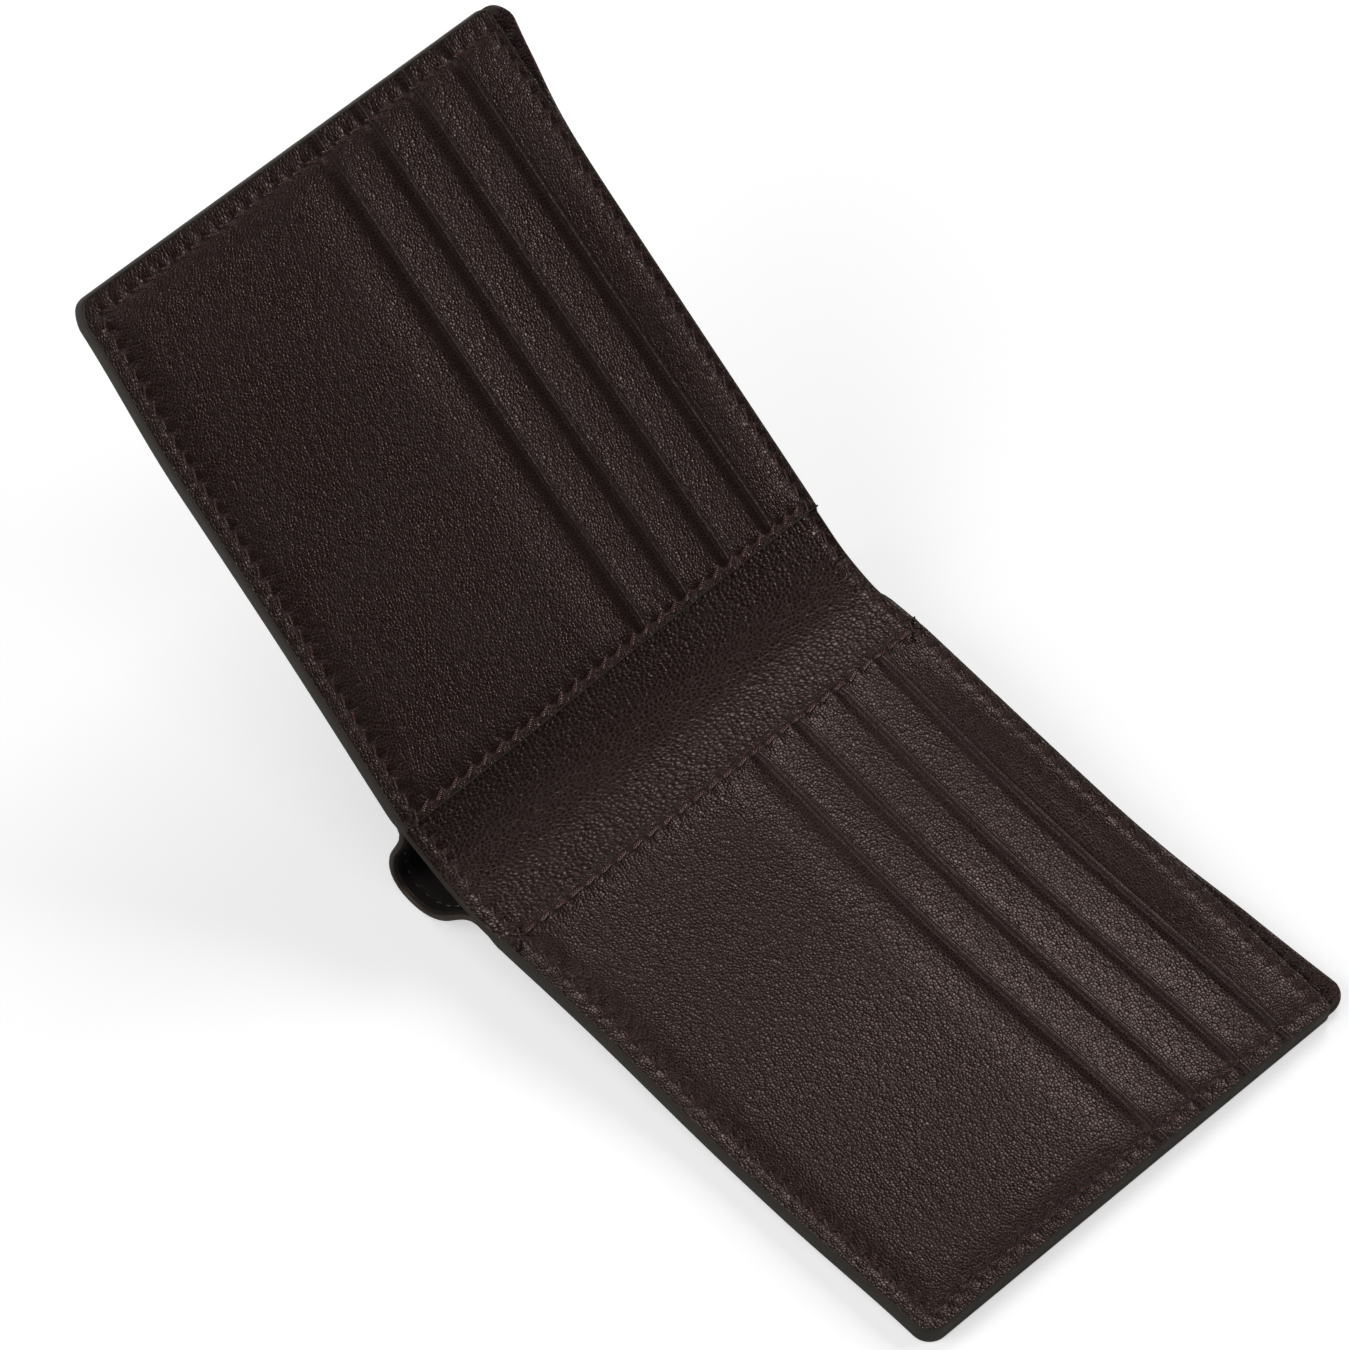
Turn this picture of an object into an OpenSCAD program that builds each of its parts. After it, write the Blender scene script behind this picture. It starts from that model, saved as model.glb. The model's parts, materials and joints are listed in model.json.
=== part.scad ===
// Bifold wallet, open, with four card pockets in each half.
//
// One half is drawn flat in its own frame: u runs from the fold line to the outer end, y runs from
// the bottom edge to the note mouth, and z = 0 is the upper face of the inner wall.
// The right half is that drawing, the left half is its mirror image, and the spine joins them.
// The finished wallet stands on z = 0, propped by the loop of its cover under the fold.

/* [Outline] */
// Length of one half, from its fold line to its outer end
half_l = 108.2; // [104:0.1:114]
// Height of the outer cover
cover_h = 90; // [88:0.5:96]
// Radius of the outer corners
corner_r = 3.5; // [3:0.5:9]
// How far the inner wall stops short of the cover at the note mouth
mouth_drop = 1.4; // [0.8:0.1:3]
// Distance from a bottom or end edge to its row of stitches
seam_in = 2.8; // [2:0.1:3.5]

/* [Layers] */
// Outer cover leather
cover_t = 1.2; // [0.8:0.1:1.6]
// Inner wall leather
wall_t = 0.8; // [0.6:0.1:1.2]
// Fabric that lines the note compartment
lining_t = 0.25; // [0.15:0.05:0.4]
// Room for banknotes between the two linings
note_gap = 0.5; // [0.3:0.1:1]
// Leather behind the card pockets
back_t = 0.55; // [0.4:0.05:0.8]
// Leather of a card pocket
pocket_t = 0.55; // [0.4:0.05:0.8]
// Thin fabric that carries a pocket down to its bottom
carrier_t = 0.12; // [0.1:0.02:0.2]
// Air left between two pieces that slide on each other
slip = 0.03; // [0.02:0.01:0.1]

/* [Card pockets] */
// Bare inner wall between the fold line and the card panel
bare_w = 9.8; // [8:0.1:12]
// Height of the front pocket's mouth above the bottom edge
front_h = 51.4; // [50:0.1:53]
// Step from one pocket mouth to the next
slot_step = 9.2; // [8.5:0.1:9.3]
// How far a pocket reaches down under the mouth in front of it
tuck = 3.6; // [3:0.1:4.5]
// Flat rim of a pocket beside its mouth
lip_w = 0.9; // [0.6:0.1:1.5]
// Leather left at the skived bottom edge of a strip
skive_t = 0.12; // [0.1:0.01:0.12]
// Depth of a card pocket below its mouth
pocket_depth = 48.6; // [46:0.1:49]
// How far the narrow part of a carrier stays inside the panel's sides
carrier_in = 3.6; // [3:0.1:5]

/* [Fold] */
// Width of the spine between the two fold lines
fold_w = 6; // [5.4:0.1:8]
// Angle of the left half above the plane of the right half
rest_bend = 35; // [20:1:50]
// How far the cover's loop hangs below the inner wall
loop_depth = 13; // [11:0.5:15]
// Where the right cover ends and the loop begins, from the fold line
loop_start = 4; // [3:0.5:6]
// Where the loop ends and the left cover begins, from the fold line
loop_end = 11; // [9:0.5:12]

/* [Hidden] */
$fn = 48;

LEATHER = [0.20, 0.14, 0.13];
POCKET_LEATHER = [0.24, 0.17, 0.155];
WALL_LEATHER = [0.17, 0.12, 0.11];
LINING_FABRIC = [0.10, 0.085, 0.08];

// Levels, measured from the upper face of the inner wall
wall_z = -wall_t;
wall_lining_z = wall_z - lining_t;
cover_lining_z = wall_lining_z - note_gap - lining_t;
cover_z = cover_lining_z - cover_t;

// Edges across the wallet
y_bottom = -cover_h / 2;
y_top = cover_h / 2;
wall_y_top = y_top - mouth_drop;
// The panel's corners stand a little proud of the inner wall's top edge
panel_y_top = wall_y_top + 0.3;
// At the spine the inner wall's bottom hem is pulled in a little
hem_in = 0.4;
// The cover lining stops short of the painted edges
lining_in = 1.2;

// Gap at a fold line between pieces that turn against each other
fold_gap = 0.15;
// Row of stitches that closes a card panel beside the fold
panel_seam_u = bare_w + 1.6;

// Card pockets, counted from the front pocket (0) to the rear one (3), with the top band as 4
band = 4;
function mouth_y(i) = y_bottom + front_h + i * slot_step;
function tuck_y(i) = mouth_y(i - 1) - tuck;
function carrier_z(i) = back_t + slip + (3 - i) * (carrier_t + slip);
function pocket_z(i) = i == band ? back_t
    : i == 0 ? carrier_z(1) + carrier_t + slip : carrier_z(i) + carrier_t;
function climb(i) = pocket_z(i + 1) + pocket_t + slip - pocket_z(i);
// A strip thins from its full leather to its skived edge at this slope, and the pocket in front climbs it
skive_slope = (pocket_t - skive_t) / (tuck - lip_w);
// Height of the sewn part of a carrier that lies under its pocket
carrier_lap = 4;
// Height of the wide part of a carrier below its pocket
wing_h = 6;

// The wallet leans on the loop of its cover and on the far edge of the right half
half_bend = rest_bend / 2;
loop_low_x = -11;
lean = atan((loop_depth + cover_z) / (half_l - loop_low_x));

// Middle line of the loop in the right half's frame: three cubic curves that share their ends
mid_z = cover_z + cover_t / 2;
loop_bottom = [loop_low_x, -loop_depth + cover_t / 2];
function turn(p, a) = [p.x * cos(a) - p.y * sin(a), p.x * sin(a) + p.y * cos(a)];
// A point of the left half's frame, seen from the right half's frame
function from_left(u, z) = turn([-fold_w, 0] + turn([-u, z], -half_bend), -half_bend);
left_end = from_left(loop_end, mid_z);
left_dir = turn([-1, 0], -rest_bend);
side_point = [-15.9, -3.2];
side_dir = [0.1, 1];
LOOP = [
    [[loop_start, mid_z], [loop_start - 5.5, mid_z], [-3.2, loop_bottom.y], loop_bottom],
    [loop_bottom, loop_bottom - [4.6, 0], side_point - 5.2 * side_dir, side_point],
    [side_point, side_point + 3.6 * side_dir, left_end - 3.4 * left_dir, left_end]
];
LOOP_STEPS = 16;
function cubic(c, t) = pow(1 - t, 3) * c[0] + 3 * t * pow(1 - t, 2) * c[1]
    + 3 * t * t * (1 - t) * c[2] + pow(t, 3) * c[3];
function slope(c, t) = pow(1 - t, 2) * (c[1] - c[0]) + 2 * t * (1 - t) * (c[2] - c[1])
    + t * t * (c[3] - c[2]);
function outward(v) = [-v.y, v.x] / norm(v);
// The loop's line moved outward by d
function loop_line(d) = [
    for (c = [0 : 2], k = [c == 0 ? 0 : 1 : LOOP_STEPS])
        cubic(LOOP[c], k / LOOP_STEPS) + d * outward(slope(LOOP[c], k / LOOP_STEPS))
];
function reversed(list) = [for (i = [len(list) - 1 : -1 : 0]) list[i]];

// Where the wallet stands: its ends are level about the origin and its lowest line is at z = 0
right_end = turn([half_l, pocket_z(0) + climb(0) + pocket_t], -lean);
far_left = turn(from_left(half_l, cover_z), -lean);
stand_x = -(right_end.x + far_left.x) / 2;
stand_z = -min([for (p = loop_line(cover_t / 2)) turn(p, -lean).y]);

// Puts the wallet on the table, with the origin under the middle of its length
module stand() {
    translate([stand_x, 0, stand_z]) rotate([0, lean, 0]) children();
}

module on_right() {
    stand() children();
}

module on_spine() {
    stand() rotate([0, half_bend, 0]) children();
}

module on_left() {
    on_spine() translate([-fold_w, 0, 0]) rotate([0, half_bend, 0]) mirror([1, 0, 0]) children();
}

// Flat sheet from u0 to the outer end, with its two outer corners rounded
module sheet(u0, y0, y1, z0, t, r, u1 = half_l) {
    translate([0, 0, z0]) linear_extrude(t) {
        translate([u0, y0]) square([u1 - r - u0, y1 - y0]);
        translate([u0, y0 + r]) square([u1 - u0, y1 - y0 - 2 * r]);
        translate([u1 - r, y0 + r]) circle(r);
        translate([u1 - r, y1 - r]) circle(r);
    }
}

// Profile in y and z carried along u
module carried(u0, u1) {
    translate([u0, 0, 0]) rotate([90, 0, 90]) linear_extrude(u1 - u0) children();
}

// Outer cover of one half
module cover_sheet(u0) {
    sheet(u0 + fold_gap, y_bottom, y_top, cover_z, cover_t, corner_r);
}

// Fabric glued to the inside of the cover
module cover_lining_sheet(u0) {
    sheet(u0 + fold_gap, y_bottom + lining_in, y_top - lining_in, cover_lining_z, lining_t,
        corner_r - lining_in, half_l - lining_in);
}

// Fabric glued under the inner wall, its hem folded double where it is sewn to the cover
module wall_lining_sheet() {
    hem_w = 2 * seam_in;
    sheet(fold_gap, y_bottom + lining_in, wall_y_top - lining_in, wall_lining_z, lining_t,
        corner_r - lining_in, half_l - lining_in);
    difference() {
        sheet(panel_seam_u, y_bottom + lining_in, wall_y_top - lining_in, wall_lining_z - note_gap,
            note_gap, corner_r - lining_in, half_l - lining_in);
        translate([0, y_bottom + hem_w, wall_lining_z - 2 * note_gap])
            cube([half_l - hem_w, cover_h, 3 * note_gap]);
    }
}

// Leather wall between the notes and the card pockets
module wall_sheet() {
    sheet(fold_gap, y_bottom, wall_y_top, wall_z, wall_t, corner_r);
}

// Leather that the card pockets are sewn to
module back_sheet() {
    sheet(bare_w, y_bottom, panel_y_top, 0, back_t, corner_r);
}

// Upper side of the edge where a piece begins at y0: square on the front pocket, skived on the strips
function start_of(i, y0) = i == 0
    ? [[y0, pocket_z(0) + pocket_t]]
    : [[mouth_y(i - 1) - lip_w, pocket_z(i) + pocket_t], [y0, pocket_z(i) + skive_t]];

// Profile of pocket i: flat above its start, then up onto the strip behind, with a rounded mouth
module pocket_profile(i, y0) {
    z0 = pocket_z(i);
    z1 = z0 + climb(i);
    top_of_climb = mouth_y(i) - lip_w;
    foot_of_climb = top_of_climb - climb(i) / skive_slope;
    lip_r = pocket_t / 2;
    polygon(concat(
        [[y0, z0], [foot_of_climb, z0], [top_of_climb, z1]],
        [for (a = [-90 : 15 : 90]) [mouth_y(i) - lip_r + lip_r * cos(a), z1 + lip_r + lip_r * sin(a)]],
        [[top_of_climb, z1 + pocket_t], [foot_of_climb, z0 + pocket_t]],
        start_of(i, y0)
    ));
}

// Pocket i behind the front one: a strip of leather
module pocket_strip(i) {
    carried(bare_w, half_l) pocket_profile(i, tuck_y(i));
}

// Front pocket: one piece of leather from its mouth to the bottom edge
module front_pocket_sheet() {
    intersection() {
        carried(bare_w, half_l) pocket_profile(0, y_bottom);
        sheet(bare_w, y_bottom, y_top, 0, cover_h, corner_r);
    }
}

// Band of leather above the rear pocket, glued to the panel's back
module top_band_strip() {
    z0 = pocket_z(band);
    intersection() {
        carried(bare_w, half_l)
            polygon(concat([[tuck_y(band), z0], [panel_y_top, z0], [panel_y_top, z0 + pocket_t]],
                start_of(band, tuck_y(band))));
        sheet(bare_w, y_bottom, panel_y_top, 0, cover_h, corner_r);
    }
}

// Carrier of pocket i: a thin T of fabric, sewn to the strip and hanging down to the pocket's bottom
module carrier(i) {
    top = tuck_y(i) + carrier_lap;
    bottom = mouth_y(i) - pocket_depth;
    side = seam_in / 2;
    translate([0, 0, carrier_z(i)]) linear_extrude(carrier_t) {
        translate([bare_w + carrier_in, bottom])
            square([half_l - bare_w - 2 * carrier_in, top - bottom]);
        translate([bare_w + side, tuck_y(i) - wing_h])
            square([half_l - bare_w - 2 * side, top - tuck_y(i) + wing_h]);
    }
}

// Flat strip of the spine between the two fold lines
module spine_strip(y0, y1, z0, t) {
    translate([-fold_w + fold_gap, y0, z0]) cube([fold_w - 2 * fold_gap, y1 - y0, t]);
}

// Band that follows the loop between two distances from its middle line
module loop_band(d_in, d_out, y0, y1) {
    translate([0, y1, 0]) rotate([90, 0, 0]) linear_extrude(y1 - y0)
        polygon(concat(loop_line(d_out), reversed(loop_line(d_in))));
}

// Right half
module right_outer_cover() {
    color(LEATHER) on_right() cover_sheet(loop_start);
}
module right_cover_lining() {
    color(LINING_FABRIC) on_right() cover_lining_sheet(loop_start);
}
module right_wall_lining() {
    color(LINING_FABRIC) on_right() wall_lining_sheet();
}
module right_inner_wall() {
    color(WALL_LEATHER) on_right() wall_sheet();
}
module right_panel_back() {
    color(POCKET_LEATHER) on_right() back_sheet();
}
module right_rear_pocket() {
    color(POCKET_LEATHER) on_right() pocket_strip(3);
}
module right_rear_carrier() {
    color(LINING_FABRIC) on_right() carrier(3);
}
module right_third_pocket() {
    color(POCKET_LEATHER) on_right() pocket_strip(2);
}
module right_third_carrier() {
    color(LINING_FABRIC) on_right() carrier(2);
}
module right_second_pocket() {
    color(POCKET_LEATHER) on_right() pocket_strip(1);
}
module right_second_carrier() {
    color(LINING_FABRIC) on_right() carrier(1);
}
module right_front_pocket() {
    color(POCKET_LEATHER) on_right() front_pocket_sheet();
}
module right_top_band() {
    color(POCKET_LEATHER) on_right() top_band_strip();
}

// Spine
module spine_cover_loop() {
    color(LEATHER) stand() loop_band(-cover_t / 2, cover_t / 2, y_bottom, y_top);
}
module spine_cover_lining() {
    color(LINING_FABRIC) stand()
        loop_band(-cover_t / 2 - lining_t, -cover_t / 2, y_bottom + lining_in, y_top - lining_in);
}
module spine_wall_lining() {
    color(LINING_FABRIC) on_spine()
        spine_strip(y_bottom + lining_in, wall_y_top - lining_in, wall_lining_z, lining_t);
}
module spine_inner_wall() {
    color(WALL_LEATHER) on_spine() spine_strip(y_bottom + hem_in, wall_y_top, wall_z, wall_t);
}

// Left half
module left_outer_cover() {
    color(LEATHER) on_left() cover_sheet(loop_end);
}
module left_cover_lining() {
    color(LINING_FABRIC) on_left() cover_lining_sheet(loop_end);
}
module left_wall_lining() {
    color(LINING_FABRIC) on_left() wall_lining_sheet();
}
module left_inner_wall() {
    color(WALL_LEATHER) on_left() wall_sheet();
}
module left_panel_back() {
    color(POCKET_LEATHER) on_left() back_sheet();
}
module left_rear_pocket() {
    color(POCKET_LEATHER) on_left() pocket_strip(3);
}
module left_rear_carrier() {
    color(LINING_FABRIC) on_left() carrier(3);
}
module left_third_pocket() {
    color(POCKET_LEATHER) on_left() pocket_strip(2);
}
module left_third_carrier() {
    color(LINING_FABRIC) on_left() carrier(2);
}
module left_second_pocket() {
    color(POCKET_LEATHER) on_left() pocket_strip(1);
}
module left_second_carrier() {
    color(LINING_FABRIC) on_left() carrier(1);
}
module left_front_pocket() {
    color(POCKET_LEATHER) on_left() front_pocket_sheet();
}
module left_top_band() {
    color(POCKET_LEATHER) on_left() top_band_strip();
}

right_outer_cover();
right_cover_lining();
right_wall_lining();
right_inner_wall();
right_panel_back();
right_rear_pocket();
right_rear_carrier();
right_third_pocket();
right_third_carrier();
right_second_pocket();
right_second_carrier();
right_front_pocket();
right_top_band();
spine_cover_loop();
spine_cover_lining();
spine_wall_lining();
spine_inner_wall();
left_outer_cover();
left_cover_lining();
left_wall_lining();
left_inner_wall();
left_panel_back();
left_rear_pocket();
left_rear_carrier();
left_third_pocket();
left_third_carrier();
left_second_pocket();
left_second_carrier();
left_front_pocket();
left_top_band();
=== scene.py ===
"""Bifold wallet, open, resting on the loop of its cover: leather, painted edges, linings and thread.

Each half is drawn flat in its own frame, in millimetres: u runs from the fold line to the outer end,
y from the bottom edge to the note mouth, and z up from the upper face of the inner wall.
A piece is a surface over u and y. press() gives it the press of the seams, drape() the natural bow of the
leather, and place() turns it with its half onto the table, in metres.
"""
import json
import math

import bpy
import numpy as np
from mathutils import Matrix


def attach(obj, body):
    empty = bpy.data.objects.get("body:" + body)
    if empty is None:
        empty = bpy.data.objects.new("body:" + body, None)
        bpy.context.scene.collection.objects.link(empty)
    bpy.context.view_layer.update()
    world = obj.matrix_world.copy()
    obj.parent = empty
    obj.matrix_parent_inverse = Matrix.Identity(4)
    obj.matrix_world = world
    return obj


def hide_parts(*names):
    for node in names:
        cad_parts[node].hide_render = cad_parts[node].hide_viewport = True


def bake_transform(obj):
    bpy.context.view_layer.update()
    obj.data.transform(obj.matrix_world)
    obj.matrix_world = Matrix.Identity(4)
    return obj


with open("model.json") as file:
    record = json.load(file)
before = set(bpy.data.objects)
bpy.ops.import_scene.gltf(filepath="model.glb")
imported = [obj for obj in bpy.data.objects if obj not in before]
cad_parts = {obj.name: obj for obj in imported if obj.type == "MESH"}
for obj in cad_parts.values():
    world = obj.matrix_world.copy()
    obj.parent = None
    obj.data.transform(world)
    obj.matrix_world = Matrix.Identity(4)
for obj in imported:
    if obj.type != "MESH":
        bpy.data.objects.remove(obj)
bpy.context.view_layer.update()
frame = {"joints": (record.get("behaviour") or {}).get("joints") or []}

MM = 0.001

# ---------------------------------------------------------------- sizes, in millimetres
half_l = 108.2          # from the fold line to the outer end
y_bottom, y_top = -45.0, 45.0
wall_y_top = 43.6
panel_y_top = 43.9
corner_r = 3.5
top_r = 1.2             # the wall and the card panel turn their top corners more sharply
seam_in = 2.8
top_in = 1.5            # the top row of stitches runs closer to its edge
seam_r = 0.8            # the rows turn their corners almost square
cover_t, wall_t, lining_t = 1.2, 0.8, 0.25
note_gap = 0.5
back_t, pocket_t, carrier_t = 0.55, 0.55, 0.12
slip = 0.03
glue = 0.005            # glued faces are drawn this far apart
bare_w = 9.8
panel_seam_u = bare_w + 1.6
front_h, slot_step, tuck = 51.4, 9.2, 3.6
pocket_depth, carrier_in, carrier_lap, wing_h = 48.6, 3.6, 4.0, 6.0
lining_in = 1.2
turned_in = 6.5         # the cover's top edge is turned in this far over its lining
loop_depth, loop_start, loop_end = 13.0, 4.0, 11.0
fold_reach = 5.0        # where the inner wall starts to bend, from the fold line
rim_in = 0.2            # leather rims stand this far inside their paint
paint_t = 0.12          # thickness of the edge paint
stitch_pitch = 3.1
row_gap = 0.6           # the panel's own row ends this far inside the row round the half

wall_z = -wall_t
wall_lining_z = wall_z - lining_t
cover_lining_z = wall_lining_z - note_gap - lining_t
cover_z = cover_lining_z - cover_t
mid_z = cover_z + cover_t / 2
BAND = 4                # the leather band above the rear pocket, counted after pockets 0 to 3
POCKETS = ["front_pocket", "second_pocket", "third_pocket", "rear_pocket"]
CARRIERS = [None, "second_carrier", "third_carrier", "rear_carrier"]

# the press of the seams on the card panel, and its soft unevenness
stack_h = 1.7           # height of the panel at which it sags in full
press_share, groove_depth = 0.24, 0.2
strip_sag, front_sag, ripple_h, swell_h = 0.42, 0.34, 0.22, 0.3


def mouth_y(i):
    """Place of pocket i's mouth: a step further up than the one in front."""
    return y_bottom + front_h + i * slot_step


def tuck_y(i):
    """Lower edge of strip i, tucked under the mouth in front of it."""
    return mouth_y(i - 1) - tuck


def carrier_z(i):
    """Underside of carrier i: they lie one on another on the panel's back, the rear pocket's lowest."""
    return back_t + slip + (3 - i) * (carrier_t + slip)


def pocket_z(i):
    """Underside of pocket i: on the panel's back, on its own carrier, or on all three for the front one."""
    if i == BAND:
        return back_t
    return carrier_z(1) + carrier_t + slip if i == 0 else carrier_z(i) + carrier_t


def climb(i):
    """How far pocket i rises to lie on the strip behind it."""
    return pocket_z(i + 1) + pocket_t + slip - pocket_z(i)


# ---------------------------------------------------------------- curves used by the shapes
def smooth(x):
    """0 up to 0, 1 from 1 on, and a cubic with level ends between them."""
    x = np.clip(x, 0.0, 1.0)
    return x * x * (3 - 2 * x)


def bell(x, width):
    """1 at 0, falling off to both sides over about the width."""
    return np.exp(-(x / width) ** 2)


def dome(d, r):
    """Half thickness of a sheet of thickness 2r at distance d from its rounded rim."""
    k = np.clip(1 - d / r, 0.0, 1.0)
    return r * np.maximum((1 - k ** 2.4) ** (1 / 2.4), 0.05)


def inside(u, y, u1, y0, y1, r):
    """How far a point lies inside an outline that ends at u1 and has its two outer corners rounded."""
    past_u = u - (u1 - r)
    past_y = np.abs(y - (y0 + y1) / 2) - ((y1 - y0) / 2 - r)
    corner = np.hypot(np.maximum(past_u, 0), np.maximum(past_y, 0))
    return r - corner - np.minimum(np.maximum(past_u, past_y), 0)


def ticks(a, b, coarse, marks, growth=0.35, rim=0.0):
    """Positions from a to b. The spacing is coarse, and near each (place, fine) mark it shrinks to fine.
    Within rim of either end they close up as on a quarter circle, so that a rounded rim stays round."""
    x = np.linspace(a, b, 6000)
    gap = np.full_like(x, coarse)
    for at, fine in marks:
        gap = np.minimum(gap, fine + growth * np.abs(x - at))
    count = np.concatenate([[0], np.cumsum(np.diff(x) * (1 / gap[1:] + 1 / gap[:-1]) / 2)])
    n = int(math.ceil(count[-1]))
    out = np.interp(np.linspace(0, count[-1], n + 1), count, x)
    if rim:
        low, high = out - a, b - out
        out = np.where(low < rim, a + rim * (1 - np.cos(low / rim * math.pi / 2)), out)
        out = np.where(high < rim, b - rim * (1 - np.cos(high / rim * math.pi / 2)), out)
    return out


# ---------------------------------------------------------------- the two halves on the table
JOINTS = {joint["name"]: joint for joint in frame["joints"]}


def hinge(name):
    """Place of a hinge across the wallet, as x and z."""
    x, _, z = JOINTS[name]["pos_m"]
    return np.array([x, z]) / MM


fold_line = {"right": hinge("fold"), "left": hinge("fold_follow")}
spine_way = fold_line["left"] - fold_line["right"]
fold_w = float(np.hypot(*spine_way))
half_bend = math.radians(-JOINTS["fold"]["range_deg"][0])
spine_tilt = math.atan2(spine_way[1], -spine_way[0])
tilt = {"right": spine_tilt - half_bend, "left": spine_tilt + half_bend}
way = {"right": 1.0, "left": -1.0}
body = {"right": "right_half", "left": "left_half"}
SIDES = ("right", "left")


def place(side, u, y, z):
    """Point on the table, in metres, of a point of a half, turned by the half's tilt about its fold line."""
    c, s = math.cos(tilt[side]), math.sin(tilt[side])
    x0, z0 = fold_line[side]
    x = x0 + way[side] * c * u + s * z
    h = z0 - way[side] * s * u + c * z
    return np.stack([x, y + 0 * x, h], -1) * MM


def press(side, u, y, z):
    """Height of a point above the wall once it is sewn: seams press the card panel down and draw a groove,
    and the strips sag a little between their mouths. The carriers' lower corners raise a small swelling
    beside the fold. Points of the cover, further down, keep their height."""
    gap = inside(u, y, half_l - seam_in, y_bottom + seam_in, wall_y_top - top_in, seam_r)
    on_panel = smooth((u - bare_w + 1.2) / 1.0)
    seam = np.maximum(bell(gap, 0.62), 0.9 * on_panel * bell(u - panel_seam_u, 0.55))
    pressed = np.maximum(1 - smooth(gap / 4.4), 1 - smooth((u - panel_seam_u) / 4.0))
    above = np.clip(z, 0, None)
    z = z - above * press_share * pressed
    steps = (y - mouth_y(0)) / slot_step
    phase = steps % 1.0
    sag = np.where(phase < 0.7, 1 - (1 - phase / 0.7) ** 2, 1 - ((phase - 0.7) / 0.3) ** 2)
    front = (1 - (1 - np.clip(-steps / 0.3, 0, 1)) ** 2) * (1 - smooth((-steps - 0.3) / 0.8))
    sag = np.where(steps > 0, strip_sag * sag * (steps < 3), front_sag * front)
    z = z - above / stack_h * (1 - pressed) * (sag - ripple_h * ripple(side, u, y))
    swell_u, swell_y = (17.0, -40.3) if side == "left" else (20.5, -39.6)
    z = z + swell_h * smooth(above) * bell(u - swell_u, 2.6) * bell(y - swell_y, 1.8)
    return z - groove_depth * seam * smooth((z + 1.7) / 0.8)


def drape(side, u, z, y):
    """Gives a flat half the bow that it has taken on. Both halves swell alike beside the fold, and further
    out the right one hangs in a shallow trough, while the left one stands almost straight."""
    t, along = np.clip(u / half_l, 0, 1), np.clip(u, 0, None)
    low, top = 1 - smooth((y + 45) / 50), smooth((y - 33) / 9)
    middle = 1 - low - top
    away, far = smooth(along / 12), smooth((along - 75) / 33)
    trough = np.sin(math.pi * t) ** 2 * (1 - 0.85 * top)
    if side == "right":
        y = y + low * (-1.7 * bell(along, 26) - 0.2 * away + 0.7 * far) + middle * (1.1 + 0.65 * away)
        return u, y + top * (0.3 + 0.5 * away), z - 2.85 * trough
    rise = 1.1 - away * (0.5 - 0.7 * smooth((y - 14) / 18))
    y = y + low * (-1.7 * bell(along, 36) - 0.65 * away + 1.5 * far) + middle * (rise - 0.3 * t) + 0.3 * top
    skew = 1.1 * smooth((25 - y) / 65) * smooth(along / 9) * (1 - smooth((along - 12) / 60))
    return u - skew + 0.9 * smooth((along - half_l + 2.6) / 2.4), y, z - 0.8 * trough


def curl(side, u, y, z):
    """The cover's free corner at the note mouth reaches past the inner wall and curls up against its edge."""
    if side == "right":
        reach = 3.0 * np.clip((u - 45) / 63, 0, 1) ** 2.2
    else:
        reach = 2.5 * np.clip((u - 68) / 38, 0, 1) ** 3
    lift = 0.5 * smooth((y - 38) / 3.2) + 1.1 * np.clip((y - 41.4) / 3.6, 0, 1)
    return u, y + reach * smooth((y - 8) / 35), z + lift * smooth(reach / 1.2)


def ripple(side, u, y):
    """Soft unevenness of the card panel, from a few long crossing waves."""
    k = 1.0 if side == "right" else 1.7
    return (np.sin(u / 13 + y / 31 + k) + np.sin(u / 21 - y / 12 + 2.3 * k)
            + 0.6 * np.sin(u / 8.5 + y / 9 + 4 * k)) / 2.6


# ---------------------------------------------------------------- lines that cross the fold
class Route:
    """A line in u and z that is straight from its start outwards and curved before it, measured by length.
    at(s, off) gives the point at length s, off it by the distance off towards the inside of the wallet."""

    def __init__(self, start, points):
        step = np.diff(points, axis=0)
        length = np.concatenate([[0], np.cumsum(np.hypot(*step.T))])
        self.start, self.level = start, points[0][1]
        self.s = (start - length)[::-1]
        self.u, self.z = points[::-1].T
        angle = np.arctan2(-step[:, 1], -step[:, 0])
        angle = np.unwrap(np.concatenate([[0.0], (angle[1:] + angle[:-1]) / 2, angle[-1:]]))
        self.angle = angle[::-1]
        self.first = self.s[0]

    def at(self, s, off):
        flat = s >= self.start
        u = np.where(flat, s, np.interp(s, self.s, self.u))
        z = np.where(flat, self.level, np.interp(s, self.s, self.z))
        a = np.where(flat, 0.0, np.interp(s, self.s, self.angle))
        return u - off * np.sin(a), z + off * np.cos(a)


def wall_points():
    """The inner wall bends evenly from its start to the middle of the spine, by half the fold's angle."""
    s = np.linspace(0, fold_reach + fold_w, 400)
    reach = fold_reach + fold_w / 2
    a = half_bend * smooth(s / reach)
    ds = s[1]
    u = fold_reach - np.concatenate([[0], np.cumsum((np.cos(a[1:]) + np.cos(a[:-1])) / 2 * ds)])
    z = np.concatenate([[0], np.cumsum((np.sin(a[1:]) + np.sin(a[:-1])) / 2 * ds)])
    c, sn = math.cos(half_bend), math.sin(half_bend)
    short = fold_w / 2 - (-u * c + z * sn)
    keep = short > 0
    n = int(keep.sum())
    last = short[n - 1] / (short[n - 1] - short[n])
    end = [u[n - 1] + last * (u[n] - u[n - 1]), z[n - 1] + last * (z[n] - z[n - 1])]
    return np.vstack([np.stack([u[:n], z[:n]], -1), end])


def turned(p, a):
    """A point turned about 0, 0 by an angle."""
    return np.array([p[0] * np.cos(a) - p[1] * np.sin(a), p[0] * np.sin(a) + p[1] * np.cos(a)])


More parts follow.
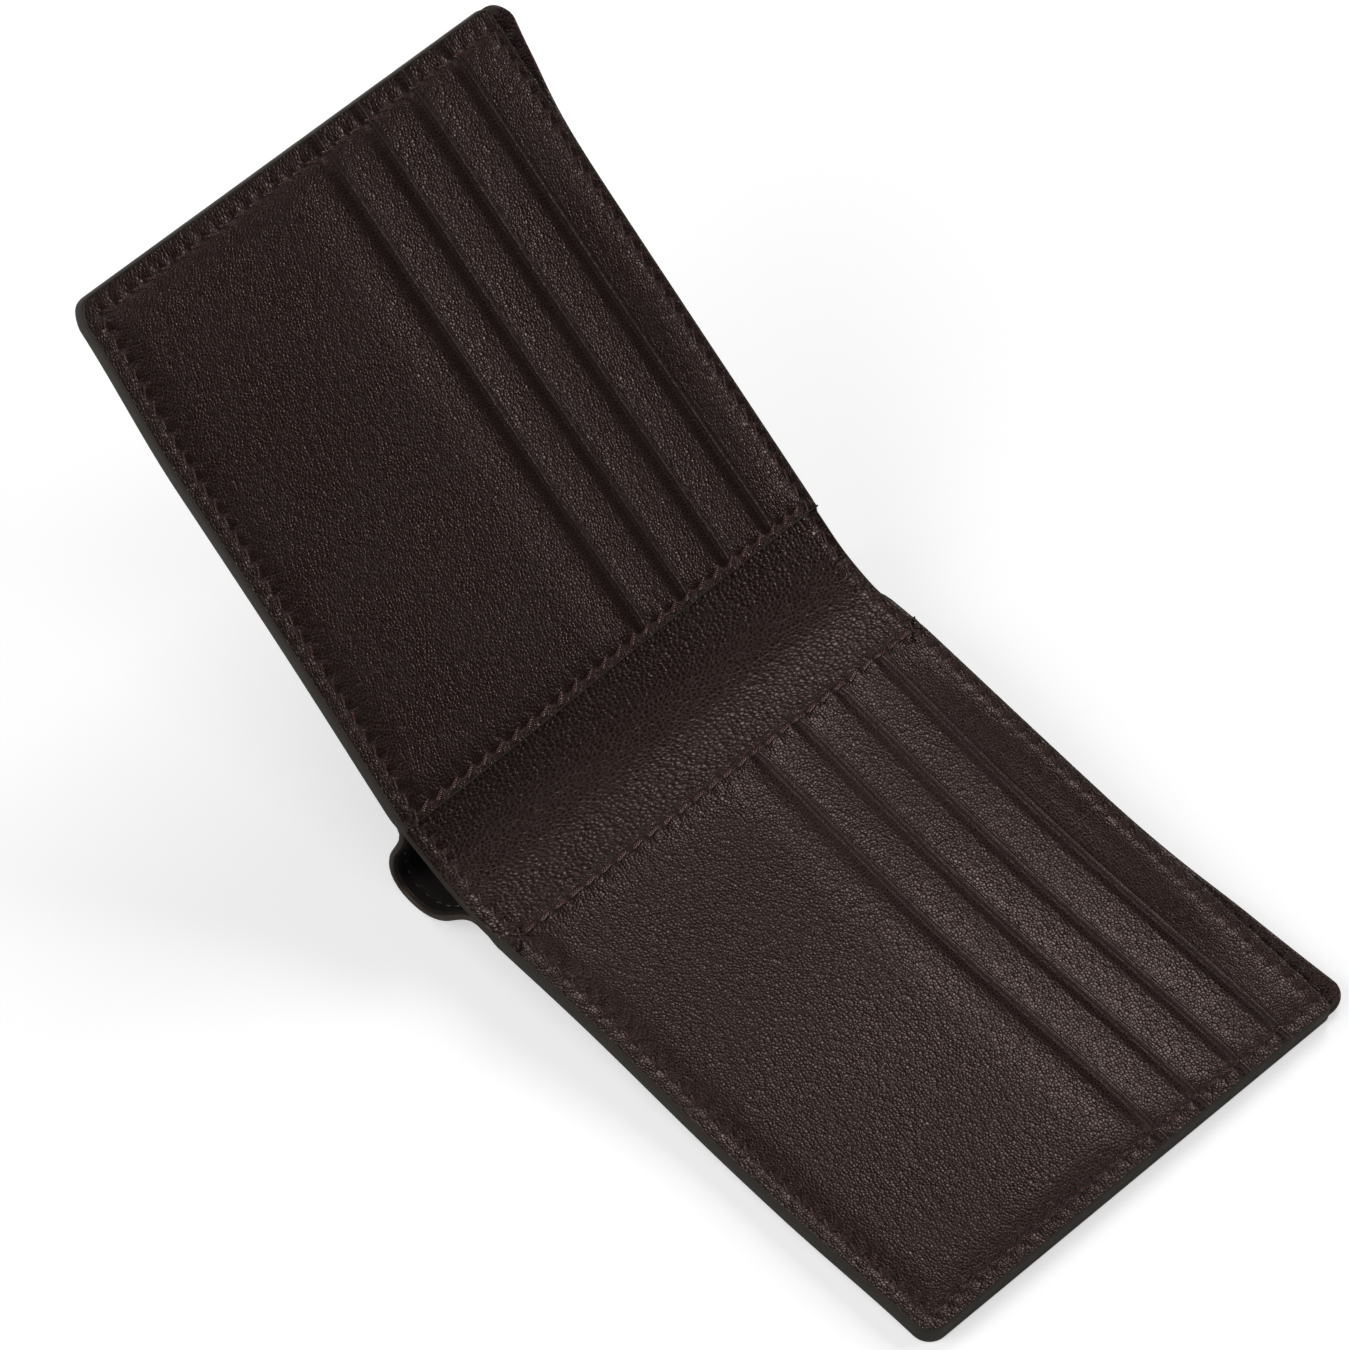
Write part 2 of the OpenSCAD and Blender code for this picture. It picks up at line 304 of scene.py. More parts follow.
def cubic(c):
    """Points along the cubic curve from the first of four points to the last, led by the two between."""
    t = np.linspace(0, 1, 200)[:, None]
    c = np.array(c, float)
    return (1 - t) ** 3 * c[0] + 3 * t * (1 - t) ** 2 * c[1] + 3 * t ** 2 * (1 - t) * c[2] + t ** 3 * c[3]


def loop_points():
    """The cover's loop in the right half's frame: three cubic curves that share their ends.
    Returns its right part and its left part, each from the flat cover to the bottom of the loop."""
    # the lengths below say how far each curve is led along the loop's own direction at its ends
    hinge_b = turned([-fold_w, 0], -half_bend)
    left_end = hinge_b + turned([-loop_end, mid_z], -2 * half_bend)
    left_dir = turned([-1, 0], -2 * half_bend)
    low = np.array([-11.0, -loop_depth + cover_t / 2])                      # where the loop hangs lowest
    side_point, side_dir = np.array([-15.9, -3.2]), np.array([0.1, 1.0])    # where it rises to the left
    right = cubic([[loop_start, mid_z], [loop_start - 5.5, mid_z], [-3.2, low[1]], low])
    turn = cubic([low, low - [4.6, 0], side_point - 5.2 * side_dir, side_point])
    rise = cubic([side_point, side_point + 3.6 * side_dir, left_end - 3.4 * left_dir, left_end])
    left = np.vstack([turn, rise[1:]])[::-1] - hinge_b
    c, s = math.cos(2 * half_bend), math.sin(2 * half_bend)
    own = np.stack([-left[:, 0] * c + left[:, 1] * s, left[:, 0] * s + left[:, 1] * c], -1)
    return right, own


loop_right, loop_left = loop_points()
WALL = Route(fold_reach, wall_points())
COVER = {"right": Route(loop_start, loop_right), "left": Route(loop_end, loop_left)}


def wall_line(side):
    """Layers above the note compartment: their z is measured from the inner wall's upper face."""
    return lambda s, y, z: place(side, *drape(side, *WALL.at(s, press(side, s, y, z)), y))


def cover_line(side):
    """The cover and its lining: their z is measured as on the flat part, across the cover's middle line."""
    def line(s, y, z):
        u, z = COVER[side].at(s, z - mid_z)
        u, y, z = curl(side, u, y, z)
        y = y - 1.6 * smooth((COVER[side].start - s) / 9) * (1 - smooth((y + 45) / 50))
        return place(side, *drape(side, u, z, y))
    return line


# ---------------------------------------------------------------- rows of stitches
def walk(u, y, u0, u1, y0, y1, r):
    """Length along a row of stitches and distance inside it. The row starts at u0 on the bottom, turns
    round the outer end at u1 with corners of radius r, and comes back along the top."""
    past_u = u - (u1 - r)
    past_y = np.abs(y - (y0 + y1) / 2) - ((y1 - y0) / 2 - r)
    straight, arc, end = u1 - r - u0, r * math.pi / 2, y1 - y0 - 2 * r
    turn = r * np.arctan2(np.maximum(past_u, 0), np.maximum(past_y, 0) + 1e-9)
    side_way = np.where((past_u > 0) & (past_y > 0), straight + turn, np.minimum(u - u0, straight))
    total = 2 * straight + 2 * arc + end
    length = np.where(y < (y0 + y1) / 2, side_way, total - side_way)
    length = np.where((past_u > past_y) & ~((past_u > 0) & (past_y > 0)), straight + arc + y - y0 - r, length)
    return length, inside(u, y, u1, y0, y1, r), total


def counted(length, total):
    """Turns a length along a row into a number of stitches."""
    return length / total * max(round(total / stitch_pitch), 1)


def wall_seam(with_panel):
    """Count and distance, from the nearest row, on the wall or the card panel: the row round the half,
    and on the panel also the row beside the fold."""
    def seam(s, y):
        length, gap, total = walk(s, y, WALL.first, half_l - seam_in, y_bottom + seam_in,
                                  wall_y_top - top_in, seam_r)
        count = counted(length, total)
        if with_panel:
            beside = s - panel_seam_u
            low, high = y_bottom + seam_in + row_gap, wall_y_top - top_in - row_gap
            nearer = np.abs(beside) < np.abs(gap)
            count = np.where(nearer, counted(y - low, high - low), count)
            gap = np.where(nearer, beside, gap)
        return count, gap
    return seam


def cover_seam(side):
    """Count and distance, from the row round the half, on the cover."""
    def seam(s, y):
        length, gap, total = walk(s, y, COVER[side].first, half_l - seam_in, y_bottom + seam_in,
                                  y_top - seam_in, seam_r)
        return counted(length, total), gap
    return seam


# ---------------------------------------------------------------- meshes
def piece(name, points, faces, uv, finish, rub_and_painted_light=None, paint=None, seam=None, sharp=50):
    """A mesh object from its points in metres, its faces, the points' own flat places in metres as UV, their
    place along and across the nearest row of stitches as a second UV, and two masks on its points: the first
    is above zero where handling has polished it and where a highlight is painted, and below zero where shade
    is painted; the second, paint, is where its edge is painted."""
    mesh = bpy.data.meshes.new(name)
    mesh.from_pydata(points.reshape(-1, 3), [], faces)
    mesh.validate()
    corner = np.zeros(len(mesh.loops), np.int32)
    mesh.loops.foreach_get("vertex_index", corner)
    for label, values in (("flat", uv), ("seam", seam)):
        if values is not None:
            layer = mesh.uv_layers.new(name=label)
            layer.data.foreach_set("uv", values.reshape(-1, 2)[corner].astype(np.float32).ravel())
    for label, values in (("rub_and_painted_light", rub_and_painted_light), ("paint", paint)):
        values = np.zeros(len(mesh.vertices)) if values is None else values
        attribute = mesh.attributes.new(label, "FLOAT", "POINT")
        attribute.data.foreach_set("value", np.broadcast_to(values, len(mesh.vertices)).astype(np.float32))
    mesh.polygons.foreach_set("use_smooth", np.ones(len(mesh.polygons), bool))
    mesh.set_sharp_from_angle(angle=math.radians(sharp))
    mesh.materials.append(finish)
    obj = bpy.data.objects.new(name, mesh)
    bpy.context.scene.collection.objects.link(obj)
    return obj


def quads(rows, cols, first=0, flip=False, wrap=False):
    """Faces of a grid of rows by cols points, row by row. wrap joins each row's last point to its first."""
    i, j = np.meshgrid(np.arange(rows - 1), np.arange(cols if wrap else cols - 1), indexing="ij")
    a = first + i * cols + j
    b = first + i * cols + (j + 1) % cols
    q = np.stack([a, b, b + cols, a + cols], -1).reshape(-1, 4)
    return q[:, ::-1] if flip else q


def rim_strip(rows, cols, under):
    """Faces that join the border of an upper grid to that of the lower grid, which starts at under."""
    index = np.arange(rows * cols).reshape(rows, cols)
    loop = np.concatenate([index[0, :], index[1:, -1], index[-1, -2::-1], index[-2:0:-1, 0]])
    after = np.roll(loop, -1)
    return np.stack([loop, loop + under, after + under, after], -1)


corner_reach = 20.0         # a row is drawn in over this much of its length
underside_shift = 260.0     # from a point's place on the hide to that of the point under it


def leaf(name, side, line, s_ticks, y_ticks, end, top, bottom, finish, rub_and_painted_light=None, paint=None,
         start=None, shift=0.0, seam=None):
    """A closed sheet between the heights top(s, y) and bottom(s, y), over rows of constant y.
    Each row runs from start(y) to end(y), so a rounded corner draws the row's outer part in."""
    s, y = np.meshgrid(s_ticks, y_ticks)
    last = s_ticks[-1]
    reach = min(corner_reach, (last - s_ticks[0]) / 2)
    s = s - (last - end(y)) * np.clip((s - (last - reach)) / reach, 0, 1) ** 2
    if start is not None:
        s = s + (start(y) - s_ticks[0]) * (1 - np.clip((s - s_ticks[0]) / reach, 0, 1)) ** 2
    upper, lower = top(s, y), bottom(s, y)
    points = np.concatenate([line(s, y, upper).reshape(-1, 3), line(s, y, lower).reshape(-1, 3)])
    rows, cols = s.shape
    n = rows * cols
    faces = np.concatenate([quads(rows, cols), quads(rows, cols, n, True), rim_strip(rows, cols, n)])
    if side == "left":
        faces = faces[:, ::-1]      # it is a mirror image, so its faces run the other way
    run = s if side == "right" else -fold_w - s
    flat = np.stack([run + shift, y + 0 * s], -1)
    uv = np.concatenate([flat.reshape(-1, 2), flat.reshape(-1, 2) + underside_shift]) * MM

    def mask(f):
        return None if f is None else np.concatenate([f(s, y).ravel(), f(s, y).ravel()])

    row = None if seam is None else np.stack([mask(lambda s, y: seam(s, y)[k]) for k in (0, 1)], -1)
    return piece(name, points, faces, uv, finish, mask(rub_and_painted_light), mask(paint), row)


def round_end(u1, y0, y1, r0, r1):
    """Outer end of a row at y, on an outline that ends at u1 with corners of radius r0 at y0 and r1 at y1."""
    def end(y):
        low, high = np.maximum(y0 + r0 - y, 0), np.maximum(y - y1 + r1, 0)
        return u1 - np.where(low > 0, r0 - np.sqrt(np.maximum(r0 * r0 - low * low, 0)),
                             r1 - np.sqrt(np.maximum(r1 * r1 - high * high, 0)))
    return end


# ---------------------------------------------------------------- heights of the card panel
def under(i, y):
    """Height of the underside of pocket i: level, then up in one soft rise onto the strip behind it."""
    foot = mouth_y(i) - tuck - (1.1 if i == 0 else 0.0)
    t = np.clip((y - foot) / (mouth_y(i) - 0.3 - foot), 0, 1) ** 1.7
    return pocket_z(i) + climb(i) * smooth(t)


def thickness(i, y):
    """Leather of pocket i: skived thin where it is tucked under the mouth in front, full everywhere else."""
    if i == 0:
        return pocket_t + 0 * y
    room = under(i - 1, y) - slip - pocket_z(i)
    return np.where(y < mouth_y(i - 1), np.clip(room, 0.06, pocket_t), pocket_t)


def fall(d, r):
    """How far an edge rounded by radius r has fallen at distance d from its end, as on a quarter circle."""
    return r - r * np.sqrt(np.clip(1 - np.clip(1 - d / r, 0, 1) ** 2, 0, 1))


def lip(i, y):
    """Change of the upper face beside a mouth: a rounded turned edge and, inside it, two creased lines."""
    d = mouth_y(i) - y
    creases = 0.04 * bell(d - 0.42, 0.2) - 0.05 * bell(d - 0.72, 0.11) + 0.04 * bell(d - 0.98, 0.12)
    return creases - fall(d, 0.36)


def pocket_top(i):
    """Upper face of pocket i: its underside, its thickness and its lip."""
    return lambda s, y: under(i, y) + thickness(i, y) + lip(i, y)


def pocket_bottom(i):
    """Lower face of pocket i: its underside, rounded up at the mouth."""
    return lambda s, y: under(i, y) + fall(mouth_y(i) - y, 0.19)


def band_top(s, y):
    """Upper face of the band: its level underside and its thickness."""
    return pocket_z(BAND) + thickness(BAND, y)


def stack_top(s, y):
    """Height of whatever lies uppermost at a point, before settling."""
    z = np.where(y > mouth_y(3), band_top(s, y), 0.0)
    for i in (3, 2, 1, 0):
        low = y_bottom - 1 if i == 0 else mouth_y(i - 1)
        z = np.where((y <= mouth_y(i)) & (y > low), pocket_top(i)(s, y), z)
    return np.where(s > bare_w, z, 0.0)


def soft_stack_top(s, y):
    """The same with its steps eased, for what lies over them, such as edge paint and thread."""
    z = 0
    for off, weight in ((-0.3, 0.25), (0.0, 0.5), (0.3, 0.25)):
        z = z + weight * stack_top(np.maximum(s, bare_w + 0.1), y + off)
    return z * smooth((s - bare_w + 0.5) / 0.6)


# ---------------------------------------------------------------- finishes
class Graph:
    """A node tree and short ways to add to it. Every value may be a number, a colour or another socket."""

    def __init__(self, tree):
        self.tree = tree

    def feed(self, sockets, values):
        """Gives sockets, by name or number, their values."""
        for key, value in values.items():
            if isinstance(value, bpy.types.NodeSocket):
                self.tree.links.new(value, sockets[key])
            else:
                sockets[key].default_value = value

    def node(self, kind, values=None, **settings):
        """A node with its settings and the values of its inputs."""
        made = self.tree.nodes.new("ShaderNode" + kind)
        for key, value in settings.items():
            setattr(made, key, value)
        self.feed(made.inputs, values or {})
        return made

    def maths(self, operation, *values):
        return self.node("Math", dict(enumerate(values)), operation=operation).outputs[0]

    def times(self, a, b):
        return self.maths("MULTIPLY", a, b)

    def plus(self, a, b):
        return self.maths("ADD", a, b)

    def minus(self, a, b):
        return self.maths("SUBTRACT", a, b)

    def most(self, a, b):
        return self.maths("MAXIMUM", a, b)

    def remap(self, value, low, high, to_low, to_high):
        """Straight from to_low where the value is low to to_high where it is high, and level beyond."""
        values = {"Value": value, "From Min": low, "From Max": high, "To Min": to_low, "To Max": to_high}
        return self.node("MapRange", values).outputs["Result"]

    def mix(self, amount, a, b):
        """The colour that lies between a and b by amount."""
        return self.node("Mix", {0: amount, 6: a, 7: b}, data_type="RGBA").outputs[2]

    def noise(self, vector, scale, detail, **more):
        values = {"Vector": vector, "Scale": scale, "Detail": detail, **more}
        return self.node("TexNoise", values).outputs["Fac"]

    def place(self, uv_map="flat"):
        """A point's place on its flat piece, or along and across its row of stitches."""
        return self.node("UVMap", uv_map=uv_map).outputs[0]

    def mask(self, name):
        return self.node("Attribute", attribute_name=name).outputs["Fac"]

    def bump(self, height, distance, strength=1.0):
        return self.node("Bump", {"Height": height, "Distance": distance, "Strength": strength}).outputs[0]

    def use(self, nodes, values):
        """A shader node group placed with its values. Returns its outputs."""
        return self.node("Group", values, node_tree=nodes).outputs


def group(name, inputs, outputs):
    """A shader node group with named inputs, given with their defaults, and named outputs.
    Returns it, its graph, what it is given and what it puts out."""
    tree = bpy.data.node_groups.new(name, "ShaderNodeTree")
    for label, kind, default in inputs:
        socket = tree.interface.new_socket(label, in_out="INPUT", socket_type="NodeSocket" + kind)
        if default is not None:
            socket.default_value = default
    for label in outputs:
        tree.interface.new_socket(label, in_out="OUTPUT", socket_type="NodeSocketFloat")
    given, out = tree.nodes.new("NodeGroupInput").outputs, tree.nodes.new("NodeGroupOutput").inputs
    return tree, Graph(tree), given, out


def grain_group():
    """Fine pebbled grain: small uneven domes split by sharp creases.
    Height is in millimetres. Crease is 1 in the creases, and Tone and Gloss are slow drifts from 0 to 1."""
    tree, g, given, out = group("leather_grain", [
        ("Vector", "Vector", None), ("Pebbles per metre", "Float", 1900.0), ("Stretch", "Float", 1.3),
        ("Turn", "Float", 0.0), ("Depth in mm", "Float", 0.06)], ["Height", "Crease", "Tone", "Gloss"])
    stretch = g.node("CombineXYZ", {"X": 1.0, "Y": given["Stretch"], "Z": 1.0}).outputs[0]
    turned_uv = g.node("VectorRotate", {"Vector": given["Vector"], "Angle": given["Turn"]},
                       rotation_type="Z_AXIS").outputs[0]
    long = g.node("VectorMath", {0: turned_uv, 1: stretch}, operation="MULTIPLY").outputs[0]
    drift = g.node("TexNoise", {"Vector": long, "Scale": 1000.0, "Detail": 1.0}).outputs["Color"]
    push = g.node("VectorMath", {0: drift, "Scale": 0.00012}, operation="SCALE").outputs[0]
    moved = g.node("VectorMath", {0: long, 1: push}, operation="ADD").outputs[0]
    cells = {"Vector": moved, "Scale": given["Pebbles per metre"], "Randomness": 0.9}
    edge = g.node("TexVoronoi", cells, feature="DISTANCE_TO_EDGE",
                  voronoi_dimensions="2D").outputs["Distance"]
    centre = g.node("TexVoronoi", cells, voronoi_dimensions="2D").outputs["Distance"]
    size = g.noise(moved, 700.0, 2.0)
    pebble = g.minus(1.0, g.times(centre, centre))
    height = g.plus(g.times(pebble, 0.8), g.times(g.remap(edge, 0.0, 0.26, 0.0, 1.0), 0.2))
    height = g.times(height, g.remap(size, 0.35, 0.65, 0.6, 1.25))
    slow = g.noise(given["Vector"], 45.0, 4.0, Roughness=0.55)
    patch = g.noise(given["Vector"], 90.0, 2.0)
    g.feed(out, {"Height": g.times(height, given["Depth in mm"]),
                 "Crease": g.remap(edge, 0.02, 0.24, 1.0, 0.0),
                 "Tone": g.remap(slow, 0.3, 0.7, 0.0, 1.0),
                 "Gloss": g.remap(patch, 0.35, 0.7, 0.0, 1.0)})
    return tree


def seam_group():
    """What a row of stitches does to leather: needle holes between the stitches and puckers beside them.
    Relief is in millimetres, Hole is 1 inside the needle holes, and Groove is 1 along the row."""
    tree, g, given, out = group("stitched_leather", [("Row", "Vector", None)], ["Relief", "Hole", "Groove"])
    axes = g.node("SeparateXYZ", {0: given["Row"]}).outputs
    part = g.maths("FRACT", g.plus(axes["X"], 0.5))
    along = g.times(g.maths("ABSOLUTE", g.minus(part, 0.5)), stitch_pitch)
    across = g.maths("ABSOLUTE", axes["Y"])
    far = g.maths("SQRT", g.plus(g.times(along, along), g.times(across, across)))
    hole = g.remap(far, 0.12, 0.45, 1.0, 0.0)
    wave = g.maths("COSINE", g.times(axes["X"], 2 * math.pi))
    pucker = g.times(wave, g.remap(across, 0.2, 1.9, 0.09, 0.0))
    g.feed(out, {"Relief": g.minus(g.times(hole, -0.07), pucker), "Hole": hole,
                 "Groove": g.remap(across, 0.1, 0.75, 1.0, 0.0)})
    return tree


def weave_group():
    """Plain weave: two crossing sets of threads, each over and under the other by turns."""
    tree, g, given, out = group("plain_weave", [
        ("Vector", "Vector", None), ("Threads per metre", "Float", 3200.0)], ["Height", "Gap"])
    values = {0: given["Vector"], "Scale": given["Threads per metre"]}
    scaled = g.node("VectorMath", values, operation="SCALE").outputs[0]
    axes = g.node("SeparateXYZ", {0: scaled}).outputs
    x, y = g.times(axes["X"], math.pi), g.times(axes["Y"], math.pi)
    warp, weft = (g.maths("ABSOLUTE", g.maths("SINE", v)) for v in (x, y))
    turns = g.times(g.maths("COSINE", x), g.maths("COSINE", y))
    over = g.remap(turns, -1.0, 1.0, 0.0, 1.0)
    height = g.plus(g.times(warp, over), g.times(weft, g.minus(1.0, over)))
    g.feed(out, {"Height": height, "Gap": g.remap(height, 0.2, 0.6, 1.0, 0.0)})
    return tree


GRAIN = grain_group()
SEWN = seam_group()
WEAVE = weave_group()
HIDE_DARK, HIDE_LIGHT = (0.0112, 0.0044, 0.0034, 1), (0.0156, 0.0062, 0.0048, 1)
HIDE_SHEEN = (1.0, 0.74, 0.69, 1)
hide_rough = 0.24
# colour of painted shade: needle holes, stitch grooves, and the shaded lines and bands by the pockets' mouths
PAINTED_SHADE_COLOUR = (0.001, 0.0006, 0.0005, 1)
PAINT_COLOUR = (0.026, 0.021, 0.015, 1)


def shade(colour, factor):
    return (*[factor * c for c in colour[:3]], 1)


def material(name):
    """A new material, its graph and its shader's inputs."""
    made = bpy.data.materials.new(name)
    made.use_nodes = True
    return made, Graph(made.node_tree), made.node_tree.nodes["Principled BSDF"].inputs


def leather(name, pebbles, stretch, turn, depth, painted=False):
    """Smooth leather with its grain in colour, roughness and relief, and painted shade in the grain's
    creases. It is polished and made lighter where its mask is above zero, which along the pockets' mouths is
    painted highlight, and darkened with painted shade where the mask is below zero. It is pierced along its
    rows of stitches, with painted shade in the holes and along each row, and on a piece with painted rims the
    paint lies over it."""
    made, g, shader = material(name)
    row = g.use(SEWN, {"Row": g.place("seam")})
    grain = g.use(GRAIN, {"Vector": g.place(), "Pebbles per metre": pebbles, "Stretch": stretch, "Turn": turn,
                          "Depth in mm": depth})
    wear_and_painted_light = g.mask("rub_and_painted_light")
    # the mask above zero is rub and painted highlight, below zero painted shade
    rub_and_painted_light, painted_shade = g.most(wear_and_painted_light, 0.0), g.most(g.times(wear_and_painted_light, -1.0), 0.0)
    # painted shade in the needle holes and along each row's groove
    sunk = g.most(g.times(row["Hole"], 0.65), g.times(row["Groove"], 0.3))
    colour = g.mix(grain["Tone"], HIDE_DARK, HIDE_LIGHT)
    # lighter where rubbed: wear, and along the pockets' mouths painted highlight
    colour = g.mix(g.times(rub_and_painted_light, 0.5), colour, shade(HIDE_LIGHT, 2.2))
    # painted shade in the grain's creases
    colour = g.mix(g.times(grain["Crease"], 0.8), colour, shade(HIDE_DARK, 0.2))
    # painted shade over the holes, the groove and the shaded lines and bands by the mouths
    colour = g.mix(g.most(sunk, painted_shade), colour, PAINTED_SHADE_COLOUR)
    roughness = g.remap(grain["Gloss"], 0.0, 1.0, hide_rough + 0.04, hide_rough - 0.04)
    roughness = g.plus(roughness, g.times(grain["Crease"], 0.3))
    roughness = g.plus(roughness, g.times(sunk, 0.4))
    roughness = g.plus(roughness, g.remap(painted_shade, 0.3, 0.7, 0.0, 0.4))
    height = g.times(grain["Height"], g.remap(wear_and_painted_light, -0.16, 0.0, 0.35, 1.0))
    height = g.times(height, g.remap(wear_and_painted_light, 0.3, 0.8, 1.0, 0.15))
    if painted:
        mask = g.remap(g.mask("paint"), 0.35, 0.65, 0.0, 1.0)
        colour = g.mix(mask, colour, PAINT_COLOUR)
        roughness = g.remap(mask, 0.0, 1.0, roughness, 0.5)
        height = g.times(height, g.minus(1.0, mask))
    g.feed(shader, {"Base Color": colour, "Roughness": roughness, "Specular IOR Level": 0.47,
                    "Specular Tint": HIDE_SHEEN, "Normal": g.bump(g.plus(height, row["Relief"]), MM)})
    return made


def paint_finish():
    """Edge paint: smooth and a little uneven, and paler where its mask says: rubbed paler over its rounded
    corners, and with painted light on the right half's outer end.
    """
    made, g, shader = material("edge_paint")
    slow, fine = g.noise(g.place(), 300.0, 3.0), g.noise(g.place(), 2600.0, 2.0)
    colour = g.mix(g.remap(slow, 0.35, 0.65, 0.0, 1.0), (0.022, 0.0175, 0.012, 1), (0.031, 0.0255, 0.0185, 1))
    # paler: wear at its corners, and painted light on the right half's outer end
    colour = g.mix(g.times(g.mask("rub_and_painted_light"), 0.6), colour, (0.05, 0.043, 0.034, 1))
    g.feed(shader, {"Base Color": colour, "Roughness": g.remap(slow, 0.3, 0.7, 0.42, 0.56),
                    "Specular IOR Level": 0.2, "Normal": g.bump(g.plus(slow, g.times(fine, 0.25)), 0.00006)})
    return made


def thread_finish():
    """Waxed thread: two plies that wind round each other, with a reddish sheen."""
    made, g, shader = material("thread")
    axes = g.node("SeparateXYZ", {0: g.place()}).outputs
    plies, winds = 2, 7400.0
    wind = g.plus(g.times(axes["X"], winds), g.times(axes["Y"], 2 * math.pi * plies / MM))
    ply = g.maths("ABSOLUTE", g.maths("SINE", wind))
    # painted shade: darker in the grooves between the plies
    colour = g.mix(ply, (0.014, 0.004, 0.003, 1), (0.085, 0.027, 0.021, 1))
    colour = g.mix(g.times(g.noise(g.place(), 5000.0, 2.0), 0.3), colour, (0.2, 0.072, 0.052, 1))
    g.feed(shader, {"Base Color": colour, "Roughness": 0.2, "Specular IOR Level": 1.0,
                    "Normal": g.bump(ply, 0.0002)})
    return made


def fabric(name, dark, light, threads):
    """Thin woven lining, with painted shade in the gaps between its threads."""
    made, g, shader = material(name)
    weave = g.use(WEAVE, {"Vector": g.place(), "Threads per metre": threads})
    colour = g.mix(g.noise(g.place(), 240.0, 3.0), dark, light)
    # painted shade in the gaps between the threads
    colour = g.mix(g.times(weave["Gap"], 0.7), colour, shade(dark, 0.3))
    g.feed(shader, {"Base Color": colour, "Roughness": 0.75, "Specular IOR Level": 0.25,
                    "Normal": g.bump(weave["Height"], 0.00006, 0.8)})
    return made


POCKET = leather("pocket_leather", pebbles=1700.0, stretch=1.15, turn=0.25, depth=0.08)
WALL_LEATHER = leather("wall_leather", pebbles=1500.0, stretch=0.75, turn=0.15, depth=0.1)
COVER_LEATHER = leather("cover_leather", pebbles=1700.0, stretch=1.15, turn=-0.3, depth=0.08, painted=True)
PAINT = paint_finish()
THREAD = thread_finish()
LINING = fabric("lining_fabric", (0.009, 0.0065, 0.006, 1), (0.014, 0.0105, 0.0095, 1), 3300.0)
CARRIER = fabric("carrier_fabric", (0.010, 0.0075, 0.007, 1), (0.016, 0.012, 0.011, 1), 2600.0)


# ---------------------------------------------------------------- covers, wall and linings
def level(z):
    """A face at one height all over."""
    return lambda s, y: z + 0.0 * s


def seam_line(gap):
    """How deep the cover's stitches draw it in, at a distance from their row."""
    return 0.13 * bell(gap, 0.5)


def cover(side):
    """Outer cover of a half with its part of the loop: its two faces meet in a round painted rim."""
    first, u1, y0, r = COVER[side].first, half_l - rim_in, y_bottom + rim_in, cover_t / 2
    s_ticks = ticks(first, u1, 1.6, [(first, 0.45), (first + 14, 0.7), (u1, 0.12)], 0.25, rim=r)
    y_ticks = ticks(y0, y_top, 1.6, [(y0, 0.1), (y_top, 0.1), (y_top - seam_in, 0.22),
                                     (y_bottom + seam_in, 0.22)], 0.3, rim=r)

    def rim(s, y):
        return inside(s, y, u1, y0, y_top, corner_r)

    def half_thickness(s, y):
        return dome(rim(s, y), r) - seam_line(rim(s, y) - seam_in + rim_in / 2)

    def edge(s, y):
        return (1 - smooth((rim(s, y) - 0.75) / 0.5)) * (1 - smooth((y - y_top + 2.6) / 1.4))

    return leaf(f"{side}_cover_leather", side, cover_line(side), s_ticks, y_ticks,
                round_end(u1, y0, y_top, corner_r, corner_r),
                lambda s, y: mid_z + half_thickness(s, y), lambda s, y: mid_z - half_thickness(s, y),
                COVER_LEATHER, paint=edge, seam=cover_seam(side),
                rub_and_painted_light=lambda s, y: 0.5 * bell(rim(s, y), 0.5))


def cover_lining(side):
    """Fabric glued inside the cover: two level faces, drawn in with the cover along its row of stitches."""
    first, u1 = COVER[side].first, half_l - lining_in
    y0, y1, r = y_bottom + lining_in, y_top - turned_in, corner_r - lining_in
    s_ticks = ticks(first, u1, 2.0, [(first, 0.6), (first + 14, 0.8), (u1, 0.4)], 0.25)
    y_ticks = ticks(y0, y1, 2.0, [(y0 + 1.6, 0.35), (y1 - 1.6, 0.35)], 0.3)

    def sunk(s, y):
        return seam_line(inside(s, y, half_l, y_bottom, y_top, corner_r) - seam_in)

    cloth = leaf(f"{side}_cover_lining_cloth", side, cover_line(side), s_ticks, y_ticks,
                 round_end(u1, y0, y1, r, r), lambda s, y: cover_lining_z + lining_t - sunk(s, y),
                 lambda s, y: cover_lining_z + glue - sunk(s, y), LINING)
    return cloth


def inner_wall(side):
    """Leather between the note compartment and the card panel: two level faces."""
    first, u1, y0 = WALL.first, half_l - rim_in, y_bottom + rim_in
    s_ticks = ticks(first, u1, 1.6, [(first, 0.25), (fold_reach, 0.5), (panel_seam_u, 0.6), (u1, 0.4)], 0.2)
    y_ticks = ticks(y0, wall_y_top - rim_in, 1.4, [(y0, 0.3), (y_bottom + seam_in, 0.16),
                    (wall_y_top - top_in, 0.16), (wall_y_top, 0.3)], 0.3)
    return leaf(f"{side}_wall_leather", side, wall_line(side), s_ticks, y_ticks,
                round_end(u1, y0, wall_y_top - rim_in, corner_r, top_r), level(0.0), level(wall_z),
                WALL_LEATHER, seam=wall_seam(False))


